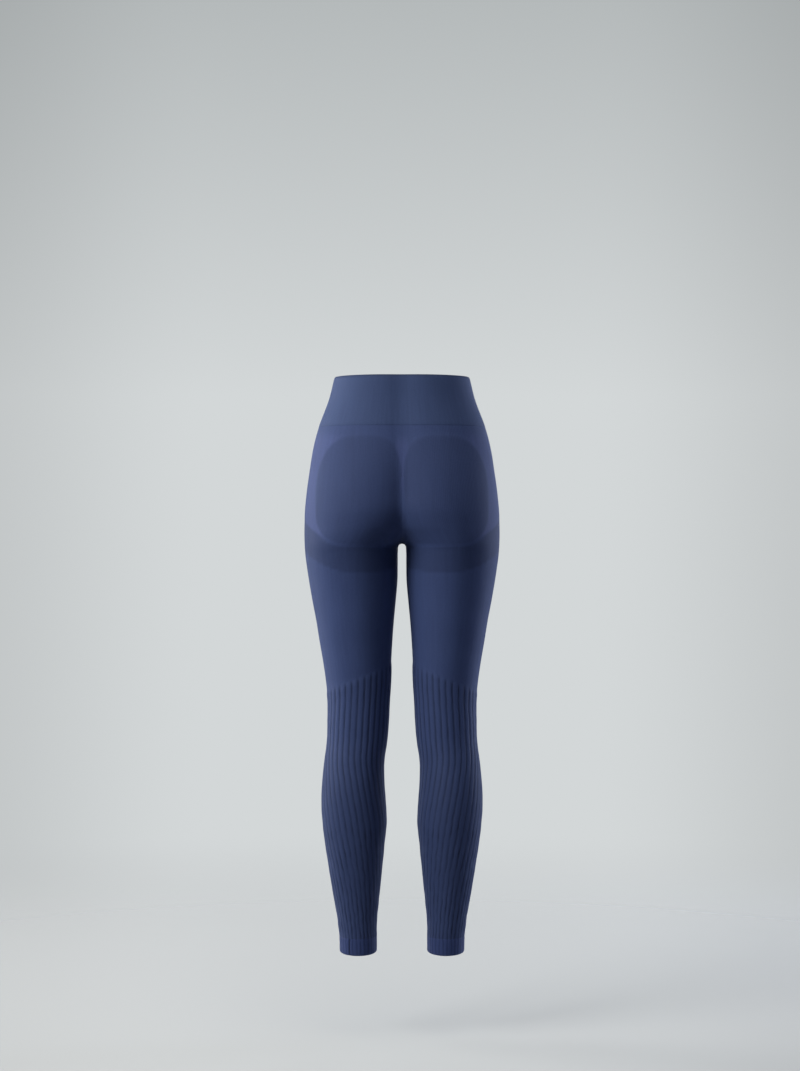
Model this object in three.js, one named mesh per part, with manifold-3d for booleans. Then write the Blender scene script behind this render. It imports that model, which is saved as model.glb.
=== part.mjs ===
// Seamless-knit leggings, full length and high waisted, in the shape they take on a standing figure.
// Millimetres, +Z up. The back faces +Y and the wearer's left is +X.
// The origin is the middle of the waist opening, level with the top edge of the waistband.
import * as THREE from "three";
import { mergeVertices } from "three/addons/utils/BufferGeometryUtils.js";
import Module from "manifold-3d";

const BAND_DEPTH = 87; // top edge of the waistband down to its join
const CUFF_TOP = -968.7; // where the turned ankle cuff begins
const HEM = -995.5; // lowest level of the cuff, before its slope
const HEM_SLOPE = 2.5; // how much lower the hem lies at the back of the ankle than at its sides
const SEAM_GAP = 0.3; // clearance between two pieces that are joined
const WALL = 1.4; // body knit
const TURNED = 1.0; // how far a doubled cuff stands out over the knit
const BAND_PROUD = 0.4; // how far the doubled waistband stands out over the knit
const BAND_INSIDE = 1.6; // depth of the waistband's inner face below the knit's surface

const RIBS = 32; // vertical ribs round one leg
const RIB_HEIGHT = 0.9; // a rib's rise over the groove beside it
const RIB_PROFILE = [0, 1, 1]; // groove, then the two shoulders of a broad flat rib
const RIB_START = -516; // level of the ribs' top ends in the middle of the leg
const RIB_SLANT = -24; // the top ends lie this much lower on the outer side, and higher on the inner
const RIB_RUN_IN = 12; // length over which a rib rises to its full height
const CUFF_RIB = 0.35; // faint ribs that the cuff keeps
const BAND_COLUMNS = 48; // divisions round the waistband
const PLAIN_COLUMNS = 48; // divisions round a leg above the ribs
const CLOSING = 40; // how far the leg's tube runs past the middle plane before it is trimmed there

const BLEND = 0.4; // softness of the valley between the two sides of the body
const BLEND_LEAN = 0.2; // how much softer that valley is at the front than at the back

// Sections of the worn garment, one row for each level from the waist to the hem.
// z: level. outer: half width over both sides. centre: x of the middle of one side, or of one leg.
// seat: x of the fullest point at the back. front and back: depth from the section's middle line.
// shift: y of that middle line.
const SECTIONS = [
  { z: 0, outer: 117, centre: 26, seat: 28, front: 84, back: 80, shift: 0 },
  { z: -40, outer: 127, centre: 29, seat: 32, front: 89, back: 84, shift: 0 },
  { z: -87, outer: 144.5, centre: 35, seat: 37, front: 95, back: 92, shift: 0 },
  { z: -126, outer: 154.5, centre: 40, seat: 43, front: 99, back: 101, shift: 0 },
  { z: -161, outer: 160.2, centre: 45, seat: 50, front: 100, back: 109, shift: 0 },
  { z: -196, outer: 165.1, centre: 49, seat: 56, front: 100, back: 115, shift: 0 },
  { z: -231, outer: 168.6, centre: 54, seat: 61, front: 99, back: 118, shift: 0 },
  { z: -258, outer: 169.5, centre: 66, seat: 70, front: 97, back: 115, shift: 0 },
  { z: -275, outer: 169.6, centre: 79, seat: 80, front: 94.5, back: 111, shift: 0 },
  { z: -290, outer: 169.2, centre: 87, seat: 87, front: 92, back: 106.5, shift: 0 },
  { z: -302, outer: 168.5, centre: 87.8, seat: 87.8, front: 90, back: 102.5, shift: 0 },
  { z: -320, outer: 166.5, centre: 86.9, seat: 86.9, front: 87.5, back: 97.5, shift: 0 },
  { z: -353, outer: 161.6, centre: 84.7, seat: 84.7, front: 84, back: 90.5, shift: 0 },
  { z: -388, outer: 155.6, centre: 83.2, seat: 83.2, front: 80.5, back: 84.5, shift: 0 },
  { z: -422, outer: 149, centre: 81.5, seat: 81.5, front: 76, back: 79, shift: 1 },
  { z: -457, outer: 143.4, centre: 80, seat: 80, front: 72, back: 73.5, shift: 1 },
  { z: -492, outer: 137.3, centre: 77.9, seat: 77.9, front: 68, back: 68.5, shift: 2 },
  { z: -527, outer: 132.2, centre: 75.8, seat: 75.8, front: 64.5, back: 64, shift: 2 },
  { z: -561, outer: 128.8, centre: 75.2, seat: 75.2, front: 62, back: 59.5, shift: 3 },
  { z: -596, outer: 128.6, centre: 76, seat: 76, front: 61, back: 56.5, shift: 4 },
  { z: -631, outer: 129.6, centre: 77.9, seat: 77.9, front: 59.5, back: 55, shift: 5 },
  { z: -666, outer: 133.9, centre: 82.6, seat: 82.6, front: 56, back: 57.5, shift: 8 },
  { z: -700, outer: 137.4, centre: 84.3, seat: 84.3, front: 52.5, back: 61.5, shift: 11 },
  { z: -735, outer: 139.1, centre: 83.9, seat: 83.9, front: 50, back: 64, shift: 12 },
  { z: -770, outer: 137.4, centre: 82.2, seat: 82.2, front: 48.5, back: 63, shift: 12 },
  { z: -805, outer: 133, centre: 81.6, seat: 81.6, front: 46.5, back: 58.5, shift: 12 },
  { z: -840, outer: 127.8, centre: 80.8, seat: 80.8, front: 44, back: 52.5, shift: 12 },
  { z: -874, outer: 122.4, centre: 79.9, seat: 79.9, front: 41, back: 46.5, shift: 11 },
  { z: -909, outer: 116.2, centre: 78.5, seat: 78.5, front: 38.5, back: 41.5, shift: 10 },
  { z: -944, outer: 110.5, centre: 77.3, seat: 77.3, front: 37, back: 38.5, shift: 9 },
  { z: -972, outer: 107.4, centre: 76, seat: 76, front: 36.5, back: 37.5, shift: 8 },
  { z: -1010, outer: 106.8, centre: 75.8, seat: 75.8, front: 37, back: 38, shift: 6 },
];

// Drift of the ribs round the leg: at the back they run towards the inner side on their way down.
const DRIFT = [
  { z: 0, along: 0 },
  { z: -640, along: 0 },
  { z: -700, along: 5 },
  { z: -770, along: 13 },
  { z: -840, along: 21 },
  { z: -880, along: 24 },
  { z: -1010, along: 25 },
];

// Levels of a leg piece down to the top ends of the ribs. tilt: rise of the level towards the outer side.
const PLAIN_LEVELS = [
  { z: -BAND_DEPTH - SEAM_GAP, tilt: 0 },
  { z: -112, tilt: 0 },
  { z: -137, tilt: 0 },
  { z: -162, tilt: 0 },
  { z: -187, tilt: 0 },
  { z: -212, tilt: 0 },
  { z: -236, tilt: 0 },
  { z: -257, tilt: 0 },
  { z: -273, tilt: 0 },
  { z: -284, tilt: 0 },
  { z: -290.5, tilt: 0 },
  { z: -297, tilt: 0 },
  { z: -306, tilt: 0 },
  { z: -320, tilt: 0 },
  { z: -340, tilt: 0 },
  { z: -364, tilt: 0 },
  { z: -392, tilt: 0 },
  { z: -422, tilt: RIB_SLANT * 0.2 },
  { z: -452, tilt: RIB_SLANT * 0.5 },
  { z: -484, tilt: RIB_SLANT * 0.8 },
  { z: RIB_START, tilt: RIB_SLANT },
];
const RIB_LEVELS = [
  { z: RIB_START - RIB_RUN_IN, tilt: RIB_SLANT },
  { z: -562, tilt: RIB_SLANT * 0.7 },
  { z: -598, tilt: RIB_SLANT * 0.3 },
  { z: -632, tilt: 0 },
  { z: -667, tilt: 0 },
  { z: -702, tilt: 0 },
  { z: -737, tilt: 0 },
  { z: -772, tilt: 0 },
  { z: -808, tilt: 0 },
  { z: -844, tilt: 0 },
  { z: -880, tilt: 0 },
  { z: -915, tilt: 0 },
  { z: -945, tilt: 0 },
  { z: CUFF_TOP + SEAM_GAP, tilt: 0 },
];

// Turned cuff, from its upper edge down the outside, round the fold and up the inside.
// out: distance from the knit's surface. rib: share of the faint ribs, or 0 where it is plain.
const CUFF_PROFILE = [
  { z: CUFF_TOP, out: 0.4, rib: 0.5 },
  { z: CUFF_TOP - 1.5, out: TURNED, rib: 1 },
  { z: HEM + 3, out: TURNED, rib: 1 },
  { z: HEM + 0.7, out: 0.5, rib: 0 },
  { z: HEM, out: -0.3, rib: 0 },
  { z: HEM + 0.8, out: -WALL, rib: 0 },
  { z: CUFF_TOP, out: -WALL, rib: 0 },
];

// Doubled waistband, from its lower edge up the outside, over the fold and down the inside.
const BAND_PROFILE = [
  { z: -BAND_DEPTH, out: BAND_PROUD },
  { z: -58, out: BAND_PROUD },
  { z: -29, out: BAND_PROUD },
  { z: -1.6, out: BAND_PROUD },
  { z: -0.3, out: -0.1 },
  { z: 0, out: -0.6 },
  { z: -0.3, out: -1.1 },
  { z: -1.6, out: -BAND_INSIDE },
  { z: -29, out: -BAND_INSIDE },
  { z: -58, out: -BAND_INSIDE },
  { z: -BAND_DEPTH, out: -BAND_INSIDE },
];

const KNIT_COLOUR = "#3a4b77";

// A smooth curve through the rows of a table, read at level z.
function readTable(rows, z) {
  let i = 0;
  while (i < rows.length - 2 && z < rows[i + 1].z) i += 1;
  const a = rows[i];
  const b = rows[i + 1];
  const before = rows[Math.max(i - 1, 0)];
  const after = rows[Math.min(i + 2, rows.length - 1)];
  const step = b.z - a.z;
  const t = (z - a.z) / step;
  const found = {};
  for (const key of Object.keys(a)) {
    const slopeA = ((b[key] - before[key]) / (b.z - before.z)) * step;
    const slopeB = ((after[key] - a[key]) / (after.z - a.z)) * step;
    const rise = b[key] - a[key];
    found[key] =
      a[key] +
      t * slopeA +
      t * t * (3 * rise - 2 * slopeA - slopeB) +
      t * t * t * (slopeA + slopeB - 2 * rise);
  }
  return found;
}

// Under 1 inside the garment's surface and over 1 outside it. Each side of the body is an ellipse
// round its own centre, and the two melt into each other near the middle plane.
function fullness(x, y, z) {
  const s = readTable(SECTIONS, z);
  const reach = y - s.shift;
  const deep = reach / (reach < 0 ? s.front : s.back);
  const behind = Math.max(0, Math.min(1, deep));
  const centre = s.centre + (s.seat - s.centre) * behind * behind * (3 - 2 * behind);
  const half = s.outer - centre;
  const near = ((x - centre) / half) ** 2 + deep * deep;
  const far = ((x + centre) / half) ** 2 + deep * deep;
  const blend = BLEND - BLEND_LEAN * Math.max(-1, Math.min(1, deep));
  const overlap = Math.max(blend - Math.abs(near - far), 0) / blend;
  return Math.min(near, far) - (overlap * overlap * blend) / 4;
}

// The same for the left half alone, with its leg: past the middle plane it closes into a tube.
function halfFullness(x, y, z) {
  if (x >= 0) return fullness(x, y, z);
  return fullness(0, y, z) + (x / CLOSING) ** 2;
}

// A point moved off the surface of a shape by a distance, outwards where that is positive.
function offset(shape, p, distance) {
  const d = 0.05;
  const normal = new THREE.Vector3(
    shape(p.x + d, p.y, p.z) - shape(p.x - d, p.y, p.z),
    shape(p.x, p.y + d, p.z) - shape(p.x, p.y - d, p.z),
    shape(p.x, p.y, p.z + d) - shape(p.x, p.y, p.z - d),
  ).normalize();
  return p.clone().addScaledVector(normal, distance);
}

// Halves the span between a value where test is false and one where it is true.
function bisect(low, high, test) {
  for (let i = 0; i < 44; i += 1) {
    const middle = (low + high) / 2;
    if (test(middle)) high = middle;
    else low = middle;
  }
  return (low + high) / 2;
}

// A level's outline as points, once round the middle (cx, cy) from the angle first.
function outline(shape, { z, tilt }, cx, cy, first) {
  const points = [];
  const count = 260;
  for (let i = 0; i <= count; i += 1) {
    const angle = first + (Math.PI * 2 * i) / count;
    const ux = Math.cos(angle);
    const uy = Math.sin(angle);
    const level = z + tilt * ux;
    const radius = bisect(0, 260, (r) => shape(cx + r * ux, cy + r * uy, level) > 1);
    points.push(new THREE.Vector3(cx + radius * ux, cy + radius * uy, level));
  }
  return points;
}

// Divides a closed line of points into count equal stretches, starting at the distance start along it.
function divide(points, count, start) {
  const run = [0];
  for (let i = 1; i < points.length; i += 1) {
    run.push(run[i - 1] + points[i].distanceTo(points[i - 1]));
  }
  const total = run[run.length - 1];
  const divided = [];
  for (let j = 0; j < count; j += 1) {
    const want = ((total * j) / count + start) % total;
    let i = 1;
    while (i < run.length - 1 && run[i] < want) i += 1;
    const share = (want - run[i - 1]) / (run[i] - run[i - 1]);
    divided.push(points[i - 1].clone().lerp(points[i], share));
  }
  return divided;
}

// One level of the left leg's tube, from its inner side round the front, outside and back.
function legLoop(level, columns) {
  const s = readTable(SECTIONS, level.z);
  const whole = outline(halfFullness, level, s.centre, s.shift, -Math.PI);
  return divide(whole, columns, readTable(DRIFT, level.z).along);
}

// Collects points and triangles of one closed body.
class Body {
  constructor() {
    this.points = [];
    this.faces = [];
  }

  // Stores a closed row, which ends on the point that it starts from.
  row(points) {
    const first = this.points.length;
    this.points.push(...points);
    return [...points.map((_, i) => first + i), first];
  }

  // Joins two rows that end level with each other, however many stretches each one has.
  join(upper, lower) {
    const a = upper.length - 1;
    const b = lower.length - 1;
    let i = 0;
    let j = 0;
    while (i < a || j < b) {
      if (j < b && (i === a || (j + 0.5) * a <= (i + 0.5) * b)) {
        this.faces.push([upper[i], lower[j], lower[j + 1]]);
        j += 1;
      } else {
        this.faces.push([upper[i], lower[j], upper[i + 1]]);
        i += 1;
      }
    }
  }

  geometry() {
    const made = new THREE.BufferGeometry().setFromPoints(this.points);
    made.setIndex(this.faces.flat());
    return made;
  }
}

// The tube of the left leg: outer and inner walls that meet at the top edge and at the lower edge.
function legTube() {
  const body = new Body();
  const inner = [];
  const outer = [];
  const lining = (points) => body.row(points.map((p) => offset(halfFullness, p, -WALL)));
  for (const level of PLAIN_LEVELS) {
    const points = legLoop(level, PLAIN_COLUMNS);
    outer.push(body.row(points));
    inner.push(lining(points));
  }
  for (const level of RIB_LEVELS) {
    const points = legLoop(level, RIBS * RIB_PROFILE.length);
    const rise = (i) => RIB_HEIGHT * RIB_PROFILE[i % RIB_PROFILE.length];
    outer.push(body.row(points.map((p, i) => offset(halfFullness, p, rise(i)))));
    inner.push(lining(legLoop(level, RIBS)));
  }
  for (let i = 1; i < outer.length; i += 1) {
    body.join(outer[i - 1], outer[i]);
    body.join(inner[i], inner[i - 1]);
  }
  body.join(inner[0], outer[0]);
  body.join(outer.at(-1), inner.at(-1));
  return body.geometry();
}

// The turned ankle cuff of the left leg.
function cuffRing() {
  const body = new Body();
  const rows = CUFF_PROFILE.map(({ z, out, rib }) => {
    const s = readTable(SECTIONS, z);
    const share = (CUFF_TOP - z) / (CUFF_TOP - HEM);
    const columns = rib > 0 ? RIBS * RIB_PROFILE.length : RIBS;
    const points = legLoop({ z, tilt: 0 }, columns).map((p, i) => {
      const rise = rib * CUFF_RIB * RIB_PROFILE[i % RIB_PROFILE.length];
      const moved = offset(halfFullness, p, out + rise);
      return moved.setZ(z - (share * HEM_SLOPE * (p.y - s.shift)) / s.back);
    });
    return body.row(points);
  });
  rows.forEach((row, i) => body.join(row, rows[(i + 1) % rows.length]));
  return body.geometry();
}

// The waistband, a ring round both sides.
function bandRing() {
  const body = new Body();
  const rows = BAND_PROFILE.map(({ z, out }) => {
    const whole = outline(fullness, { z, tilt: 0 }, 0, 0, -Math.PI / 2);
    return body.row(divide(whole, BAND_COLUMNS, 0).map((p) => offset(fullness, p, out)));
  });
  rows.forEach((row, i) => body.join(rows[(i + 1) % rows.length], row));
  return body.geometry();
}

const wasm = await Module();
wasm.setup();

function toSolid(geometry) {
  const vertProperties = geometry.getAttribute("position").array;
  const triVerts = new Uint32Array(geometry.index.array);
  return new wasm.Manifold(new wasm.Mesh({ numProp: 3, vertProperties, triVerts }));
}

function toGeometry(solid) {
  const mesh = solid.getMesh();
  const made = new THREE.BufferGeometry();
  made.setAttribute("position", new THREE.BufferAttribute(mesh.vertProperties, 3));
  made.setIndex([...mesh.triVerts]);
  return made;
}

// What lies beyond the middle plane, and the half of the seam's clearance before it.
function beyondMiddle() {
  const box = new THREE.BoxGeometry(400, 500, 1200);
  box.deleteAttribute("normal");
  box.deleteAttribute("uv");
  return mergeVertices(box.translate(SEAM_GAP / 2 - 200, 0, HEM / 2));
}

// The same shape on the other side of the middle plane.
function mirrored(geometry) {
  const made = geometry.clone().scale(-1, 1, 1);
  const index = made.index.array;
  for (let i = 0; i < index.length; i += 3) {
    [index[i], index[i + 1]] = [index[i + 1], index[i]];
  }
  return made;
}

const leggings = new THREE.Group();

function addPiece(name, geometry, roughness) {
  const material = new THREE.MeshStandardMaterial({ color: KNIT_COLOUR, roughness, metalness: 0 });
  const piece = new THREE.Mesh(geometry, material);
  piece.name = name;
  leggings.add(piece);
}

const leg = toGeometry(toSolid(legTube()).subtract(toSolid(beyondMiddle())));
const cuff = cuffRing();
addPiece("waistband", bandRing(), 0.7);
addPiece("left_leg", leg, 0.75);
addPiece("right_leg", mirrored(leg), 0.75);
addPiece("left_cuff", cuff, 0.8);
addPiece("right_cuff", mirrored(cuff), 0.8);

export default leggings;
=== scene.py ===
import math

import bmesh
import bpy
import numpy as np
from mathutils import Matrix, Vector


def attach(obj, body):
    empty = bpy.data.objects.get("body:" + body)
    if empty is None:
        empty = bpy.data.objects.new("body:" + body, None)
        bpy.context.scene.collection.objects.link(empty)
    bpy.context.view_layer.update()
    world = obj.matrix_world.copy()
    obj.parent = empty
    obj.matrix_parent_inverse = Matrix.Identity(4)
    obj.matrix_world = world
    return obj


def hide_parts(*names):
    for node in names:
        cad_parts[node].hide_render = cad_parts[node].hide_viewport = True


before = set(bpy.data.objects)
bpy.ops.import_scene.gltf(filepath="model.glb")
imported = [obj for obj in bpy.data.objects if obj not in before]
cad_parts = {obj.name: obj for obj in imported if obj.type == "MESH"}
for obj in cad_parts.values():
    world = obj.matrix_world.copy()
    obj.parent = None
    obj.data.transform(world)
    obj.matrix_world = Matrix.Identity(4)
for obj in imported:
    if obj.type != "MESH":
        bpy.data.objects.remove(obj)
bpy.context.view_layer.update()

# Sizes, in millimetres

BAND_DEPTH = 87.0  # top edge of the waistband down to its join
CUFF_TOP = -968.7  # where a turned cuff begins
HEM = -995.5  # lowest level of a cuff, before its slope
HEM_SLOPE = 2.5  # how much lower the hem lies at the back of the ankle than at its sides
JOIN_GAP = 0.1  # clearance between a leg and the waistband or cuff
KNIT_WALL = 1.2  # thickness of the body knit
TURNED = 0.8  # how far a doubled cuff stands out over the knit
CUFF_INSIDE = 1.4  # depth of a cuff's inner face below the knit's surface
BAND_PROUD = 0.25  # how far the doubled waistband stands out over the knit
BAND_INSIDE = 1.6  # depth of the waistband's inner face below the knit's surface

RIBS = 32  # ribs round one leg
RIB_POINTS = 6  # points round each rib
LEG_COLUMNS = RIBS * RIB_POINTS
RIB_PROFILE = (0.0, 0.78, 1.0, 1.0, 1.0, 0.78)  # share of the height at each point, from the groove on
RIB_HEIGHT = 1.0  # a rib's rise over the groove beside it
RIB_START = -516.0  # level of the ribs' top ends in the middle of the leg
RIB_SLANT = -24.0  # the top ends lie this much lower on the outer side, and higher on the inner
RIB_RUN_IN = 12.0  # length over which a rib rises to its full height
CUFF_RIB = 0.4  # faint ribs that a cuff keeps
BAND_COLUMNS = 224  # divisions round the waistband

BLEND = 0.4  # softness of the valley between the two sides of the body
BLEND_LEAN = 0.2  # how much softer that valley is at the front than at the back
CLOSING = 40.0  # how far a leg's tube runs past the middle plane before it is trimmed there
MIDDLE_EDGE = -0.01  # where the left half is trimmed, just past the middle, so that no slit shows
MIDDLE_SNAP = 0.6  # points nearer the middle plane than this are set on the trimmed edge

# Sections of the worn garment, from the waist to the hem.
# z, outer half width, centre of one side or leg, fullest point at the back, front depth, back depth, shift
SECTIONS = np.array([
    (0, 117, 26, 28, 84, 80, 0),
    (-40, 127, 29, 32, 89, 84, 0),
    (-87, 144.5, 35, 37, 95, 92, 0),
    (-126, 154.5, 40, 43, 99, 101, 0),
    (-161, 160.2, 45, 50, 100, 109, 0),
    (-196, 165.1, 49, 56, 100, 115, 0),
    (-231, 168.6, 54, 61, 99, 118, 0),
    (-258, 169.5, 66, 70, 97, 115, 0),
    (-275, 169.6, 79, 80, 94.5, 111, 0),
    (-290, 169.2, 87, 87, 92, 106.5, 0),
    (-302, 168.5, 87.8, 87.8, 90, 102.5, 0),
    (-320, 166.5, 86.9, 86.9, 87.5, 97.5, 0),
    (-353, 161.6, 84.7, 84.7, 84, 90.5, 0),
    (-388, 155.6, 83.2, 83.2, 80.5, 84.5, 0),
    (-422, 149, 81.5, 81.5, 76, 79, 1),
    (-457, 143.4, 80, 80, 72, 73.5, 1),
    (-492, 137.3, 77.9, 77.9, 68, 68.5, 2),
    (-527, 132.2, 75.8, 75.8, 64.5, 64, 2),
    (-561, 128.8, 75.2, 75.2, 62, 59.5, 3),
    (-596, 128.6, 76, 76, 61, 56.5, 4),
    (-631, 129.6, 77.9, 77.9, 59.5, 55, 5),
    (-666, 133.9, 82.6, 82.6, 56, 57.5, 8),
    (-700, 137.4, 84.3, 84.3, 52.5, 61.5, 11),
    (-735, 139.1, 83.9, 83.9, 50, 64, 12),
    (-770, 137.4, 82.2, 82.2, 48.5, 63, 12),
    (-805, 133, 81.6, 81.6, 46.5, 58.5, 12),
    (-840, 127.8, 80.8, 80.8, 44, 52.5, 12),
    (-874, 122.4, 79.9, 79.9, 41, 46.5, 11),
    (-909, 116.2, 78.5, 78.5, 38.5, 41.5, 10),
    (-944, 110.5, 77.3, 77.3, 37, 38.5, 9),
    (-972, 107.4, 76, 76, 36.5, 37.5, 8),
    (-1010, 106.8, 75.8, 75.8, 37, 38, 6),
], float)

# Columns of the sections' table
CENTRE = 2
BACK_DEPTH = 5
SHIFT = 6

# Drift of the ribs round the leg: z, distance along the loop
DRIFT = np.array([
    (0, 0), (-640, 0), (-700, 5), (-770, 13), (-840, 21), (-880, 24), (-1010, 25),
], float)

# Slant of the leg's rows: z, share of the slant of the ribs' top ends
SLANT = np.array([
    (0, 0), (-392, 0), (-422, 0.2), (-452, 0.5), (-484, 0.8), (-516, 1), (-528, 1), (-562, 0.7),
    (-598, 0.3), (-632, 0), (-1010, 0),
], float)

# Rows of a leg: from one level to the next, with the distance between rows
LEG_TOP = -BAND_DEPTH - JOIN_GAP
LEG_END = CUFF_TOP + JOIN_GAP
LEG_SPANS = (
    (LEG_TOP, -300, 3.4),
    (-300, -500, 5.0),
    (-500, -545, 3.0),
    (-545, LEG_END, 5.6),
)

# Small unevenness of the worn ribs, a random seed and the lengths of its waves:
# how they sway sideways, and how their height comes and goes
RIB_SWAY = (11, (150, 60, 34, 21))
RIB_PATCHES = (5, (90, 48, 26))

# How much of that there is. Each pair holds the depths below the waist over which a change comes about.
SWAY_STARTS = (480, 540)
SWAY = 0.5  # how far the ribs sway sideways at most
SWAY_GROWS = (690, 850)
SWAY_MORE = 1.0  # how much further they sway on the calf
CALMER_STARTS = (640, 780)
CALMER = 0.32  # share of their height that the ribs lose over the calf
CALMER_ENDS = (780, 860)
CALMER_LESS = 0.16  # share that they regain below it
PATCHY = 0.2  # how much their height comes and goes
PATCHY_GROWS = (690, 820)
PATCHY_MORE = 0.5  # how much more it does on the lower calf
LOWER_LEG = (590, 720)  # where the knit turns darker

# Whatever lies on the back or the front only fades in over these distances from the middle, in y
FACE_FADE = (0, 20)

# A place at the back of the lower calf where the ribs are stretched flatter
STRETCHED_LEVEL = -862.0
STRETCHED_ACROSS = -4.0  # its middle, from the middle of the leg
STRETCHED_HEIGHT = 26.0  # how far it fades out up and down
STRETCHED_WIDTH = 20.0  # and sideways
STRETCHED_LOSS = 0.55  # share of the ribs' height that is gone in its middle

# The rounded seat panel
SEAT_X = 75  # its middle
SEAT_Z = -220
SEAT_HALF_WIDTH = 73
SEAT_UP = 115  # its height above that middle
SEAT_DOWN = 70  # and below it
SEAT_SCALE = 80  # turns a share of the panel's size into millimetres near its edge

# The pale border and the firm band
BORDER_FRONT = 16  # the border's front edge runs this far behind the side line
BORDER_SWING = 14  # and comes forward by this much 100 mm above or below its middle
BORDER_MIDDLE = -215
BORDER_LOW = -240  # level of its lower edge at the side line, and of the firm band's upper edge
BORDER_FALL = 0.378  # how steeply both run down to the back
BORDER_SQUARE = 0.935  # turns a height over that sloping edge into a distance from it
BORDER_CORNER = 25  # radius between its front and lower edges
BORDER_BEGINS = (92, 128)  # the border fades in between these distances from the middle plane
BORDER_TOP = (-114, -90)  # and fades out upwards between these levels
# The middle strip is partly the knit's own pale strip and partly painted light.
STRIP_SHARE = 0.9  # how clearly the strip between the two panels shows
STRIP_SIDES = (6, 14)  # it fades out between these distances from the middle plane
STRIP_LOW = (-212, -190)  # and between these levels at its lower end
STRIP_HIGH = (-125, -98)  # and at its upper end
FIRM_LOW = -338.5  # lowest level of the firm band, at the middle of the leg
FIRM_MIDDLE = 80  # x of that middle
FIRM_RISE_OUT = 28  # how much higher the band's lower edge is 80 mm further out
FIRM_RISE_IN = 8  # and 80 mm further in
FIRM_TIP = (-75, -60)  # distances from the side line, in front of it, over which the band begins
FIRM_BACK = 98  # past this distance from the side line the band's upper edge is level
ZONES_BEGIN = (-5, 25)  # y over which the panel, and the firm band near the middle, fade in
ZONE_EDGE = 2.5  # half the width over which one kind of stitch changes to the next
PANEL_RELIEF = 0.5  # how far the panel stands out
BORDER_RELIEF = 0.15
FIRM_RELIEF = -0.1  # the tighter firm band lies lower

# Soft creases of the worn cloth, alike on both sides of the body.
# x and z of the middle, 1 at the back or -1 at the front, length, half width, tilt in degrees, depth
CREASES = (
    (74, -299, 1, 58, 2.6, 0, 0.55),
    (24, -316, 1, 34, 3.5, 38, 0.40),
    (122, -306, 1, 40, 4.0, -14, 0.30),
    (84, -648, 1, 62, 5.0, 4, 0.30),
    (28, -272, -1, 62, 4.5, -24, 0.50),
    (36, -296, -1, 56, 4.0, -42, 0.45),
    (20, -244, -1, 44, 5.0, -12, 0.35),
    (78, -640, -1, 50, 6.0, -6, 0.25),
    (77, -935, 1, 60, 4.5, 3, 0.35),
    (77, -952, -1, 60, 4.0, -4, 0.35),
)

# Outline of a folded cuff, from its upper edge down the outside, round the fold and up the inside:
# z, distance from the knit's surface, share of the faint ribs
CUFF_PROFILE = [
    (CUFF_TOP, 0.5, 0.8),
    (CUFF_TOP - 0.6, 0.6, 0.9),
    (CUFF_TOP - 2.5, TURNED, 1.0),
    (HEM + 4, TURNED, 1.0),
    (HEM + 1.6, 0.85, 0.6),
    (HEM + 0.6, 0.45, 0.3),
    (HEM + 0.1, 0.0, 0.1),
    (HEM, -0.4, 0.0),
    (HEM + 0.3, -0.9, 0.0),
    (HEM + 1.2, -CUFF_INSIDE, 0.0),
    (CUFF_TOP, -CUFF_INSIDE, 0.0),
]
CUFF_STEP = 3.0
SEAM_X = 90  # where the stitched seam crosses the left cuff, at the back
SEAM_WIDTH = 1.3
SEAM_DEPTH = 0.5

# Outline of the doubled waistband, from its join up the outside, over the fold and down the inside:
# z, distance from the knit's surface, share of painted shade in the groove there
BAND_PROFILE = [
    (-BAND_DEPTH, 0.05, 0.3),
    (-BAND_DEPTH + 0.4, 0.12, 0.1),
    (-BAND_DEPTH + 1.8, BAND_PROUD, 0.0),
    (-7, BAND_PROUD, 0.0),
    (-3.5, 0.1, 0.3),
    (-1.5, -0.3, 1.0),
    (-0.4, -0.8, 1.2),
    (0, -1.3, 1.2),
    (-0.3, -1.75, 0.5),
    (-1.2, -2.0, 0.0),
    (-4, -1.8, 0.0),
    (-10, -BAND_INSIDE, 0.0),
    (-BAND_DEPTH, -BAND_INSIDE, 0.0),
]
BAND_STEP = 4.0

# Girth of each knit, in metres, by which its pattern is laid round it
LEG_GIRTH = 0.33
CUFF_GIRTH = 0.22
BAND_GIRTH = 0.64


# The garment's surface

def smooth(a, b, t):
    """0 below a, 1 above b, an even curve between."""
    k = np.clip((t - a) / (b - a), 0, 1)
    return k * k * (3 - 2 * k)


def read_table(rows, z):
    """A smooth curve through a table's rows, read at the levels z."""
    z = np.asarray(z, float)
    i = np.clip(np.searchsorted(-rows[:, 0], -z, side="left") - 1, 0, len(rows) - 2)
    a, b = rows[i], rows[i + 1]
    before, after = rows[np.maximum(i - 1, 0)], rows[np.minimum(i + 2, len(rows) - 1)]
    step = (b - a)[..., :1]
    t = (z - a[..., 0])[..., None] / step
    slope_a = (b - before) / (b - before)[..., :1] * step
    slope_b = (after - a) / (after - a)[..., :1] * step
    rise = b - a
    square = t**2 * (3 * rise - 2 * slope_a - slope_b)
    cube = t**3 * (slope_a + slope_b - 2 * rise)
    return a + t * slope_a + square + cube


def fullness(x, y, z):
    """Under 1 inside the garment's surface and over 1 outside it. Each side of the body is an ellipse
    round its own centre, and the two melt into each other near the middle plane."""
    s = read_table(SECTIONS, z)
    outer, centre, seat, front, back, shift = (s[..., k] for k in range(1, 7))
    reach = y - shift
    deep = reach / np.where(reach < 0, front, back)
    behind = np.clip(deep, 0, 1)
    centre = centre + (seat - centre) * behind**2 * (3 - 2 * behind)
    half = outer - centre
    near = ((x - centre) / half) ** 2 + deep**2
    far = ((x + centre) / half) ** 2 + deep**2
    blend = BLEND - BLEND_LEAN * np.clip(deep, -1, 1)
    overlap = np.maximum(blend - np.abs(near - far), 0) / blend
    return np.minimum(near, far) - overlap**2 * blend / 4


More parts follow.
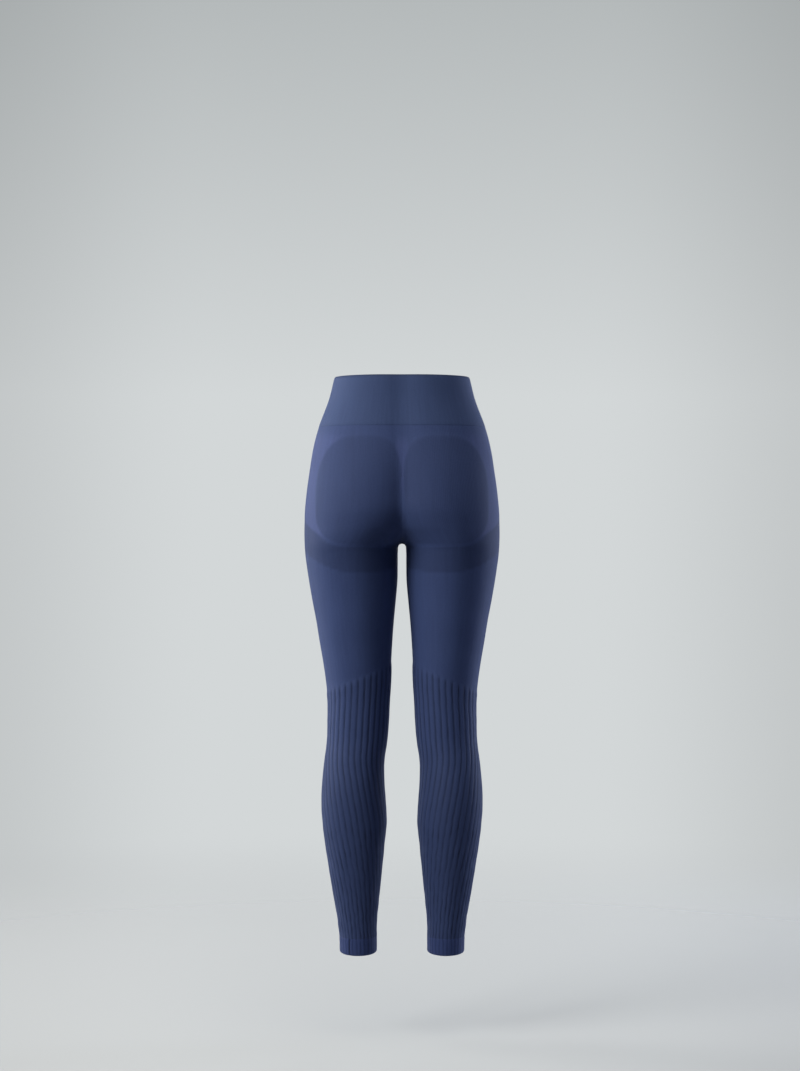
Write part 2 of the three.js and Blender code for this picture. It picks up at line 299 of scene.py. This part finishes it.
def half_fullness(x, y, z):
    """The same for the left half with its leg, closed past the middle plane."""
    past = fullness(np.zeros_like(x), y, z) + (x / CLOSING) ** 2
    return np.where(x >= 0, fullness(x, y, z), past)


def outward(shape, p):
    """Directions away from a shape's surface at the points p."""
    d = 0.05
    x, y, z = p[..., 0], p[..., 1], p[..., 2]
    n = np.stack([
        shape(x + d, y, z) - shape(x - d, y, z),
        shape(x, y + d, z) - shape(x, y - d, z),
        shape(x, y, z + d) - shape(x, y, z - d),
    ], axis=-1)
    return n / np.linalg.norm(n, axis=-1, keepdims=True)


def loops_round(shape, levels, tilt, cx, cy, first, columns, start, sway=0.0):
    """Points on the surface, a row for each level, evenly spaced round it but for a small sway.
    The surface is found by halving, in each of 360 directions from the middle (cx, cy). Each row
    ends where it begins."""
    angle = first + np.linspace(0, 2 * math.pi, 361)
    ux, uy = np.cos(angle)[None, :], np.sin(angle)[None, :]
    z = levels[:, None] + tilt[:, None] * ux
    cx, cy = cx[:, None], cy[:, None]
    low, high = np.zeros_like(z), np.full_like(z, 260.0)
    for _ in range(34):
        middle = (low + high) / 2
        out = shape(cx + middle * ux, cy + middle * uy, z) > 1
        low, high = np.where(out, low, middle), np.where(out, middle, high)
    r = (low + high) / 2
    fine = np.stack([cx + r * ux, cy + r * uy, z], axis=-1)
    rows = []
    sway = sway * np.ones((len(levels), columns + 1))
    for points, ahead, aside in zip(fine, start, sway):
        steps = np.linalg.norm(np.diff(points, axis=0), axis=1)
        run = np.concatenate([[0], np.cumsum(steps)])
        want = (run[-1] * np.arange(columns + 1) / columns + ahead + aside) % run[-1]
        want[-1] = want[0]
        rows.append(np.stack([np.interp(want, run, points[:, k]) for k in range(3)], axis=-1))
    return np.array(rows)


def uneven(levels, seed, waves):
    """A smooth random value from -1 to 1 for each level and rib. waves holds lengths in millimetres."""
    rng = np.random.default_rng(seed)
    value = np.zeros((len(levels), RIBS))
    for wave in waves:
        phase = rng.uniform(0, 2 * math.pi, RIBS)
        length = wave * rng.uniform(0.8, 1.25, RIBS)
        value += np.sin(2 * math.pi * levels[:, None] / length + phase) / len(waves)
    return value


def across_ribs(value):
    """Spreads a value for each rib smoothly over the columns between the ribs' grooves."""
    rib = np.arange(LEG_COLUMNS + 1) / RIB_POINTS
    first = np.floor(rib).astype(int)
    part = rib - first
    return value[:, first % RIBS] * (1 - part) + value[:, (first + 1) % RIBS] * part


def rib_profile():
    """Height of the ribs round a leg, as a row of shares."""
    return np.array([RIB_PROFILE[c % RIB_POINTS] for c in range(LEG_COLUMNS + 1)])[None, :]


def leg_loops(levels, tilted=True):
    """Rows of points round the left leg. The ribs follow the columns, so these sway where the ribs do."""
    s = read_table(SECTIONS, levels)
    tilt = read_table(SLANT, levels)[:, 1] * RIB_SLANT if tilted else np.zeros_like(levels)
    drift = read_table(DRIFT, levels)[:, 1]
    swing = smooth(*SWAY_STARTS, -levels) * (SWAY + SWAY_MORE * smooth(*SWAY_GROWS, -levels))
    sway = across_ribs(uneven(levels, *RIB_SWAY)) * swing[:, None]
    centre, shift = s[:, CENTRE], s[:, SHIFT]
    return loops_round(half_fullness, levels, tilt, centre, shift, -math.pi, LEG_COLUMNS, drift, sway)


# Knitted-in shaping

def seat_oval(p):
    """Distance in millimetres outside the rounded seat panel, negative inside it."""
    x = np.abs(p[..., 0]) - SEAT_X
    z = p[..., 2] - SEAT_Z
    across = np.abs(x) / SEAT_HALF_WIDTH
    down = np.where(z > 0, z / SEAT_UP, -z / SEAT_DOWN)
    # How square each corner is: upper outer, upper inner, lower outer, lower inner.
    corner = np.where(z > 0, np.where(x > 0, 2.5, 4.0), np.where(x > 0, 3.0, 5.0))
    return ((across**corner + down**corner) ** (1 / corner) - 1) * SEAT_SCALE


def from_side(points):
    """Distance round each row of points from the side line, positive to the back."""
    s = read_table(SECTIONS, points[:, 0, 2])
    steps = np.linalg.norm(np.diff(points, axis=1), axis=2)
    run = np.concatenate([np.zeros((len(points), 1)), np.cumsum(steps, axis=1)], axis=1)
    for row, along, (centre, shift) in zip(points, run, s[:, [CENTRE, SHIFT]]):
        outer = row[:, 0] > centre
        along -= np.interp(shift, row[outer, 1], along[outer])
    return run


def shaping(p, side):
    """Shares of each knitted-in zone at the points p: seat panel, pale border, firm band below.
    side holds the points' distances from the side line."""
    x, y, z = np.abs(p[..., 0]), p[..., 1], p[..., 2]
    d = seat_oval(p)
    at_back = smooth(*ZONES_BEGIN, y)
    panel = (1 - smooth(-ZONE_EDGE, ZONE_EDGE, d)) * at_back

    # The border fills the flank outside the panel. Its front edge swings forward to the waistband, its
    # lower edge runs down and back to a tip under the panel, and the corner between them is round.
    # It has a narrow strip in the middle too, between the two panels, partly the knit's own pale strip and
    # partly painted light where the valley between the panels catches the light.
    back, ahead = np.maximum(side, 0), np.maximum(-side, 0)
    behind = side - BORDER_FRONT + BORDER_SWING * ((z - BORDER_MIDDLE) / 100) ** 2
    above = BORDER_SQUARE * (z - BORDER_LOW + BORDER_FALL * back)
    off_front = np.maximum(BORDER_CORNER - behind, 0)
    off_low = np.maximum(BORDER_CORNER - above, 0)
    inside = BORDER_CORNER - np.hypot(off_front, off_low)
    flank = smooth(-3, 3, inside) * smooth(*BORDER_BEGINS, x) * (1 - smooth(*BORDER_TOP, z))
    strip_ends = smooth(*STRIP_LOW, z) * (1 - smooth(*STRIP_HIGH, z))
    strip = STRIP_SHARE * (1 - smooth(*STRIP_SIDES, x)) * strip_ends * smooth(*FACE_FADE, y)
    border = smooth(-ZONE_EDGE, ZONE_EDGE, d) * np.clip(flank + strip, 0, 1)

    # The firm band crosses the back of the thigh and narrows to a point in front of the side line.
    rise = np.where(x > FIRM_MIDDLE, FIRM_RISE_OUT, FIRM_RISE_IN) * ((x - FIRM_MIDDLE) / 80) ** 2
    low = FIRM_LOW + rise + 0.5 * ahead
    high = BORDER_LOW - BORDER_FALL * np.minimum(back, FIRM_BACK) - 0.6 * ahead
    reach = np.where(x > 90, smooth(*FIRM_TIP, side), at_back)
    edges = smooth(3, 9, d) * smooth(-1.5, 2.5, z - low) * smooth(-4, 4, high - z)
    firm = edges * reach * (1 - border)
    return panel, border, firm


def crease_relief(p):
    """Height of the creases at the points p: a trough with a low ridge along each side."""
    x, z = np.abs(p[..., 0]), p[..., 2]
    height = np.zeros_like(x)
    for cx, cz, facing, length, half, tilt, depth in CREASES:
        turn = math.radians(tilt)
        along = (x - cx) * math.cos(turn) + (z - cz) * math.sin(turn)
        off = ((z - cz) * math.cos(turn) - (x - cx) * math.sin(turn)) / half
        seen = np.exp(-np.abs(2 * along / length) ** 3) * smooth(*FACE_FADE, facing * p[..., 1])
        height += depth * seen * (0.3 * np.exp(-((np.abs(off) - 1.9) ** 2)) - np.exp(-off**2))
    return height


# Mesh helpers

def knit_sheet(points, shares, girth):
    """A sheet of knit wrapped round and closed along one wale. points holds rows of points in millimetres,
    shares holds a value for each point under each name, and girth is the pattern's length round it."""
    rows, columns = points.shape[0], points.shape[1]
    bm = bmesh.new()
    bmesh.ops.create_grid(bm, x_segments=columns - 1, y_segments=rows - 1, size=0.5)
    bm.verts.ensure_lookup_table()
    kept = {key: bm.verts.layers.float.new(key) for key in shares}
    places = points.reshape(-1, 3) * 0.001
    for i, v in enumerate(bm.verts):
        v.co = places[i]
        for key, layer in kept.items():
            v[layer] = float(shares[key].flat[i])
    uv = bm.loops.layers.uv.new("knit")
    steps = np.linalg.norm(np.diff(points, axis=0), axis=2).mean(axis=1)
    down = np.concatenate([[0], np.cumsum(steps)])
    for face in bm.faces:
        for corner in face.loops:
            row, column = divmod(corner.vert.index, columns)
            corner[uv].uv = (column / (columns - 1) * girth, down[row] * 0.001)
    bmesh.ops.remove_doubles(bm, verts=bm.verts, dist=1e-6)
    return bm


def as_object(bm, name, material, wall=None):
    """Makes a piece of a bmesh. wall is the thickness in millimetres that it gets on its inside."""
    bmesh.ops.recalc_face_normals(bm, faces=bm.faces)
    for edge in bm.edges:
        edge.smooth = not edge.is_boundary
    for face in bm.faces:
        face.smooth = True
    mesh = bpy.data.meshes.new(name)
    bm.to_mesh(mesh)
    bm.free()
    mesh.materials.append(material)
    piece = bpy.data.objects.new(name, mesh)
    bpy.context.scene.collection.objects.link(piece)
    if wall:
        thick = piece.modifiers.new("wall", "SOLIDIFY")
        thick.thickness = wall * 0.001
        thick.offset = -1
        thick.use_even_offset = False
    return piece


def mirrored(points):
    """The same points on the other side of the body."""
    return points * np.array([-1.0, 1.0, 1.0])


# Materials

def linear(hexed):
    """An sRGB hex colour as Blender's linear values."""
    parts = [int(hexed[i:i + 2], 16) / 255 for i in (1, 3, 5)]
    return [c / 12.92 if c <= 0.04045 else ((c + 0.055) / 1.055) ** 2.4 for c in parts] + [1.0]


def add(tree, kind, settings=None, **links):
    """Adds a node with its settings. A link goes to the input of that name, or of that number as in i0.
    It is a node, which stands for its first output, or another socket or a plain value."""
    node = tree.nodes.new(kind)
    for key, value in (settings or {}).items():
        setattr(node, key, value)
    for key, value in links.items():
        numbered = key[0] == "i" and key[1:].isdigit()
        socket = node.inputs[int(key[1:]) if numbered else key.replace("_", " ")]
        if isinstance(value, bpy.types.Node):
            value = value.outputs[0]
        if isinstance(value, bpy.types.NodeSocket):
            tree.links.new(value, socket)
        else:
            socket.default_value = value
    return node


def new_tree(owner):
    """The empty node tree of a material or world."""
    owner.use_nodes = True
    owner.node_tree.nodes.clear()
    return owner.node_tree


# Settings that several nodes share
TIMES = {"operation": "MULTIPLY"}
TIMES_PLUS = {"operation": "MULTIPLY_ADD"}
SINE = {"operation": "SINE"}
FLAT_NOISE = {"noise_dimensions": "2D"}
COLOURS = {"data_type": "RGBA"}
SOFT_ENDS = {"interpolation_type": "SMOOTHSTEP"}

# Dyes of the yarn, and the light that its filaments catch along an edge
NAVY = "#404f79"
BAND_NAVY = "#425279"
CUFF_NAVY = "#3a4875"
# PALE is the border's paler knit with painted sheen in it.
PALE = "#495683"
SHEEN = "#8f9ccb"

# Distance between wales and between courses as drawn, in metres
WALE = 0.0015
COURSE = 0.0012

# Streaks and clouds of uneven yarn: how many to a metre, across and along the cloth
STREAKS = (240.0, 14.0, 1.0)
CLOUDS = (420.0, 300.0, 1.0)


def knit(name, base, roughness, zones):
    """Seamless nylon and elastane knit: a matt, dyed filament yarn with a soft sheen along its edges.
    Wales run down the cloth and courses round it. They are 0.7 mm apart in the real cloth, too fine
    to show, so the wales are drawn 1.5 mm apart here and the courses 1.2 mm. zones holds how much
    lighter or darker each zone is drawn: the yarn's own tone, but painted shade in the grooves."""
    material = bpy.data.materials.new(name)
    tree = new_tree(material)
    uv = add(tree, "ShaderNodeUVMap", {"uv_map": "knit"})

    # Streaks of uneven yarn, 4 mm wide and 70 mm long, with clouds of 2 mm to 3 mm over them.
    place = add(tree, "ShaderNodeMapping", Vector=uv, Scale=STREAKS)
    streaks = add(tree, "ShaderNodeTexNoise", FLAT_NOISE, Vector=place, Scale=1.0, Detail=2.0, Roughness=0.5)
    place = add(tree, "ShaderNodeMapping", Vector=uv, Scale=CLOUDS)
    clouds = add(tree, "ShaderNodeTexNoise", FLAT_NOISE, Vector=place, Scale=1.0, Detail=3.0, Roughness=0.6)
    cloudy = add(tree, "ShaderNodeMath", TIMES_PLUS, i0=clouds, i1=0.14, i2=0.85)
    tone = add(tree, "ShaderNodeMath", TIMES_PLUS, i0=streaks, i1=0.16, i2=cloudy)
    # Each zone's change is the yarn's own tone, but in grooves, folds and joins it is painted shade.
    for key, change in zones.items():
        share = add(tree, "ShaderNodeAttribute", {"attribute_name": key}).outputs["Fac"]
        shade = add(tree, "ShaderNodeMath", TIMES_PLUS, i0=share, i1=change, i2=1.0)
        tone = add(tree, "ShaderNodeMath", TIMES, i0=tone, i1=shade)

    # The border of the shaping is knitted with less of the dark yarn. Its paler, greyer colour is partly
    # painted sheen as well.
    pale = add(tree, "ShaderNodeAttribute", {"attribute_name": "border"}).outputs["Fac"]
    dye = add(tree, "ShaderNodeMix", COLOURS, i0=pale, A=linear(base), B=linear(PALE)).outputs["Result"]
    colour = add(tree, "ShaderNodeVectorMath", {"operation": "SCALE"}, i0=dye, Scale=tone)

    # Loops of yarn as relief: ridges down the cloth, crossed by shallower courses.
    turns = (2 * math.pi / WALE, 2 * math.pi / COURSE, 1.0)
    angles = add(tree, "ShaderNodeSeparateXYZ", i0=add(tree, "ShaderNodeMapping", Vector=uv, Scale=turns))
    wales = add(tree, "ShaderNodeMath", SINE, i0=angles.outputs[0])
    courses = add(tree, "ShaderNodeMath", SINE, i0=angles.outputs[1])
    loops = add(tree, "ShaderNodeMath", TIMES_PLUS, i0=courses, i1=0.4, i2=wales)
    height = add(tree, "ShaderNodeMath", TIMES_PLUS, i0=clouds, i1=1.5, i2=loops)
    bump = add(tree, "ShaderNodeBump", Strength=0.35, Distance=0.00012, Height=height)

    shader = add(
        tree, "ShaderNodeBsdfPrincipled", Base_Color=colour, Roughness=roughness, Normal=bump,
        Specular_IOR_Level=0.2, Sheen_Weight=0.5, Sheen_Roughness=0.3, Sheen_Tint=linear(SHEEN))
    add(tree, "ShaderNodeOutputMaterial", Surface=shader)
    return material


# The body knit is dyed in the piece and left as it comes off the machine, so it is matt. The grooves
# between ribs are painted darker as shade, the tighter stitches of panel and firm band look darker, and
# the lower leg is darker too.
body_knit = knit("seamless_body_knit", NAVY, 0.7, {
    "groove": -0.5,
    "panel": -0.13,
    "firm_band": -0.22,
    "lower_leg_darkening": -0.17,
})
# The same knit laid double, which gives an even, closed face, with a line of painted shade at its fold
# and join.
band_knit = knit("doubled_band_knit", BAND_NAVY, 0.7, {"groove": -0.35})
# The same knit turned up and stitched, which flattens its ribs and leaves them a trace more gloss. Its
# grooves are painted darker as shade, and its stitched seam is darker.
cuff_knit = knit("turned_cuff_knit", CUFF_NAVY, 0.66, {"groove": -0.45, "seam": -0.6})


# Legs

def leg_levels():
    """Levels of a leg's rows, closer together where its form turns faster."""
    rows = []
    for a, b, step in LEG_SPANS:
        count = max(2, round((a - b) / step))
        rows.append(np.linspace(a, b, count, endpoint=False))
    return np.concatenate(rows + [[LEG_END]])


def leg_ribs(levels, base):
    """Share of the ribs' height that shows at each point of a leg: none above their slanted top ends,
    all of it at the knee, less and unevenly on the stretched lower calf."""
    centre = read_table(SECTIONS, base[..., 2])[..., CENTRE]
    off_level = (base[..., 2] - STRETCHED_LEVEL) / STRETCHED_HEIGHT
    off_middle = (base[..., 0] - centre - STRETCHED_ACROSS) / STRETCHED_WIDTH
    stretched = np.exp(-off_level**2 - off_middle**2) * smooth(*FACE_FADE, base[..., 1])
    risen = smooth(0, RIB_RUN_IN, RIB_START - levels)[:, None]
    regained = CALMER_LESS * smooth(*CALMER_ENDS, -levels)
    calmer = 1 - (CALMER * smooth(*CALMER_STARTS, -levels) - regained)[:, None]
    patches = across_ribs(uneven(levels, *RIB_PATCHES))
    patchy = 1 + (PATCHY + PATCHY_MORE * smooth(*PATCHY_GROWS, -levels))[:, None] * patches
    return risen * calmer * patchy * (1 - STRETCHED_LOSS * stretched)


def leg_piece(name, side):
    """A leg with its half of the body. side is 1 for the left one and -1 for the right one."""
    levels = leg_levels()
    base = leg_loops(levels)
    profile = rib_profile()
    ribbed = leg_ribs(levels, base)
    panel, border, firm = shaping(base, from_side(base))
    relief = ribbed * RIB_HEIGHT * profile + crease_relief(base)
    relief += PANEL_RELIEF * panel + BORDER_RELIEF * border + FIRM_RELIEF * firm
    points = base + outward(half_fullness, base) * relief[..., None]
    points[..., 0] = np.where(np.abs(points[..., 0]) < MIDDLE_SNAP, MIDDLE_EDGE, points[..., 0])
    if side < 0:
        points = mirrored(points)
    # groove carries painted shade into the grooves between the ribs.
    shares = {
        "groove": ribbed * (1 - profile),
        "panel": panel,
        "border": border,
        "firm_band": firm,
        "lower_leg_darkening": smooth(*LOWER_LEG, -levels)[:, None] * np.ones_like(profile),
    }
    bm = knit_sheet(points, shares, LEG_GIRTH)
    edge = MIDDLE_EDGE * 0.001 * side
    everything = bm.verts[:] + bm.edges[:] + bm.faces[:]
    bmesh.ops.bisect_plane(
        bm, geom=everything, dist=1e-7, plane_co=(edge, 0, 0), plane_no=(-side, 0, 0), clear_outer=True)
    return as_object(bm, name, body_knit, KNIT_WALL)


# Cuffs and waistband

def fold_rows(profile, step):
    """Rows between the corners of a folded edge's outline, close together round the fold."""
    rows = []
    for (z0, out0, share0), (z1, out1, share1) in zip(profile, profile[1:] + profile[:1]):
        count = max(1, round(abs(z1 - z0) / step))
        for k in range(count):
            t = k / count
            rows.append((z0 + (z1 - z0) * t, out0 + (out1 - out0) * t, share0 + (share1 - share0) * t))
    return np.array(rows + rows[:1])


def cuff_piece(name, side):
    """The turned end of a leg, closed round its fold. One stitched seam shows, on the left cuff."""
    rows = fold_rows(CUFF_PROFILE, CUFF_STEP)
    levels = rows[:, 0]
    shown = rows[:, 2][:, None]
    base = leg_loops(levels, tilted=False)
    ribs = rib_profile()
    seam = np.zeros_like(base[..., 0])
    if side > 0:
        line = np.exp(-((base[..., 0] - SEAM_X) / SEAM_WIDTH) ** 2)
        seam = line * smooth(0, 10, base[..., 1]) * np.clip(shown, 0, 1)
    relief = rows[:, 1][:, None] + shown * CUFF_RIB * ribs - SEAM_DEPTH * seam
    points = base + outward(half_fullness, base) * relief[..., None]
    s = read_table(SECTIONS, levels)
    to_back = (points[..., 1] - s[:, SHIFT][:, None]) / s[:, BACK_DEPTH][:, None]
    share = (CUFF_TOP - levels) / (CUFF_TOP - HEM)
    points[..., 2] = levels[:, None] - share[:, None] * HEM_SLOPE * to_back
    if side < 0:
        points = mirrored(points)
    # groove carries painted shade between the faint ribs; seam darkens the stitched seam.
    bm = knit_sheet(points, {"groove": 0.8 * shown * (1 - ribs), "seam": seam}, CUFF_GIRTH)
    return as_object(bm, name, cuff_knit)


def waistband_piece(name):
    """The doubled ring round the waist, closed round its fold and along its join."""
    rows = fold_rows(BAND_PROFILE, BAND_STEP)
    levels = rows[:, 0]
    none = np.zeros_like(levels)
    base = loops_round(fullness, levels, none, none, none, -math.pi / 2, BAND_COLUMNS, none)
    points = base + outward(fullness, base) * rows[:, 1][:, None, None]
    # groove carries painted shade at the fold and the join.
    groove = rows[:, 2][:, None] * np.ones((1, BAND_COLUMNS + 1))
    bm = knit_sheet(points, {"groove": groove}, BAND_GIRTH)
    return as_object(bm, name, band_knit)


left_leg = leg_piece("left_leg_knit", 1)
right_leg = leg_piece("right_leg_knit", -1)
left_cuff = cuff_piece("left_cuff_knit", 1)
right_cuff = cuff_piece("right_cuff_knit", -1)
waistband = waistband_piece("waistband_knit")

for piece, node, slot in (
    (left_leg, "left_leg", "body_knit"),
    (right_leg, "right_leg", "body_knit"),
    (left_cuff, "left_cuff", "cuff_knit"),
    (right_cuff, "right_cuff", "cuff_knit"),
    (waistband, "waistband", "band_knit"),
):
    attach(piece, "root")
    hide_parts(node)


# Floor, light and camera, in metres

FLOOR = -1.144
FLOOR_RADIUS = 9.0
FLOOR_PAINT = "#d5d6d3"
FLOOR_FADE = (1.0, 3.0)  # distance over which the floor turns into the backdrop
FLOOR_CLEAR = 0.45  # share of the backdrop that shows through the floor near the garment
# The backdrop's darker tone upwards and its dimming to the sides are painted shade, where the studio light
# falls off.
BACKDROP = "#d3d7d8"
BACKDROP_HIGH = "#acb1b2"
BACKDROP_RISE = (0.06, 0.27)  # upward share of the direction in which the backdrop turns to its high tone
BACKDROP_SIDES = (0.08, 0.20)  # sideways share in which it dims
BACKDROP_DIM = 0.82  # brightness left there
ROOM_FILL = "#8aa8f0"
ROOM_STRENGTH = 0.065
MIDDLE = (0, 0, -0.5)
EYE = (0.0035, 4.0, -0.275)
LENS = 77.36

# Soft boxes: name, place, width and height, watts, colour
LAMPS = (
    ("key_softbox", (1.90, 1.50, 0.90), (1.4, 1.8), 50, "#ffffff"),
    ("side_softbox", (2.54, -0.93, 0.22), (1.0, 2.0), 42, "#ffffff"),
    ("left_rim_softbox", (1.97, -1.97, -0.26), (0.8, 2.0), 8, "#ffffff"),
    ("edge_softbox", (-2.62, -0.80, 0.0), (0.8, 2.0), 25, "#dfe9ff"),
    ("right_rim_softbox", (-2.14, -1.79, -0.26), (0.8, 2.0), 25, "#dfe9ff"),
    ("top_softbox", (0.0, 0.67, 2.00), (1.6, 1.6), 19, "#fff8e8"),
    ("front_softbox", (-0.5, -2.9, 0.4), (1.6, 1.6), 14, "#ffffff"),
)


def floor_paint():
    """Matt paint rolled on a smooth floor, without gloss. It fades into the backdrop further off."""
    material = bpy.data.materials.new("painted_studio_floor")
    tree = new_tree(material)
    place = add(tree, "ShaderNodeTexCoord").outputs["Object"]
    far = add(tree, "ShaderNodeVectorMath", {"operation": "LENGTH"}, i0=place).outputs["Value"]
    near, off = FLOOR_FADE
    fade = add(tree, "ShaderNodeMapRange", SOFT_ENDS, Value=far, From_Min=near, From_Max=off,
               To_Min=FLOOR_CLEAR)
    paint = add(tree, "ShaderNodeBsdfPrincipled", Base_Color=linear(FLOOR_PAINT), Roughness=0.85)
    clear = add(tree, "ShaderNodeBsdfTransparent")
    mixed = add(tree, "ShaderNodeMixShader", i0=fade, i1=paint, i2=clear)
    add(tree, "ShaderNodeOutputMaterial", Surface=mixed)
    return material


def floor_piece():
    """A wide round floor below the garment."""
    bm = bmesh.new()
    bmesh.ops.create_circle(bm, cap_ends=True, segments=96, radius=FLOOR_RADIUS)
    bmesh.ops.translate(bm, verts=bm.verts, vec=(0, 0, FLOOR))
    mesh = bpy.data.meshes.new("studio_floor")
    bm.to_mesh(mesh)
    bm.free()
    mesh.materials.append(floor_paint())
    floor = bpy.data.objects.new("studio_floor", mesh)
    bpy.context.scene.collection.objects.link(floor)


def surroundings():
    """A pale backdrop for the camera, which darkens upwards and to the sides, and a dim blue room light."""
    world = bpy.data.worlds.new("studio")
    bpy.context.scene.world = world
    tree = new_tree(world)
    way = add(tree, "ShaderNodeSeparateXYZ", i0=add(tree, "ShaderNodeTexCoord").outputs["Generated"])
    # Painted shade: the backdrop turns darker upwards and dims to the sides.
    low, high = BACKDROP_RISE
    dusk = add(tree, "ShaderNodeMapRange", Value=way.outputs[2], From_Min=low, From_Max=high)
    tint = add(tree, "ShaderNodeMix", COLOURS, i0=dusk, A=linear(BACKDROP), B=linear(BACKDROP_HIGH))
    aside = add(tree, "ShaderNodeMath", {"operation": "ABSOLUTE"}, i0=way.outputs[0])
    near, far = BACKDROP_SIDES
    wing = add(tree, "ShaderNodeMapRange", SOFT_ENDS, Value=aside, From_Min=near, From_Max=far,
               To_Min=1.0, To_Max=BACKDROP_DIM)
    seen = add(tree, "ShaderNodeBackground", Color=tint.outputs["Result"], Strength=wing)
    fill = add(tree, "ShaderNodeBackground", Color=linear(ROOM_FILL), Strength=ROOM_STRENGTH)
    eye = add(tree, "ShaderNodeLightPath").outputs["Is Camera Ray"]
    both = add(tree, "ShaderNodeMixShader", i0=eye, i1=fill, i2=seen)
    add(tree, "ShaderNodeOutputWorld", Surface=both)


def lamp(name, place, size, power, colour):
    """A soft box that faces the middle of the garment."""
    data = bpy.data.lights.new(name, "AREA")
    data.shape = "RECTANGLE"
    data.size, data.size_y = size
    data.energy = power
    data.color = linear(colour)[:3]
    made = bpy.data.objects.new(name, data)
    made.location = place
    made.rotation_euler = (Vector(MIDDLE) - Vector(place)).to_track_quat("-Z", "Y").to_euler()
    bpy.context.scene.collection.objects.link(made)


def camera():
    """The camera faces the back of the garment, level with the thighs."""
    data = bpy.data.cameras.new("camera")
    data.lens = LENS
    made = bpy.data.objects.new("camera", data)
    made.location = EYE
    made.rotation_euler = (math.radians(90), 0, math.radians(180))
    bpy.context.scene.collection.objects.link(made)
    bpy.context.scene.camera = made


floor_piece()
surroundings()
for row in LAMPS:
    lamp(*row)
camera()
bpy.context.scene.view_settings.view_transform = "Standard"
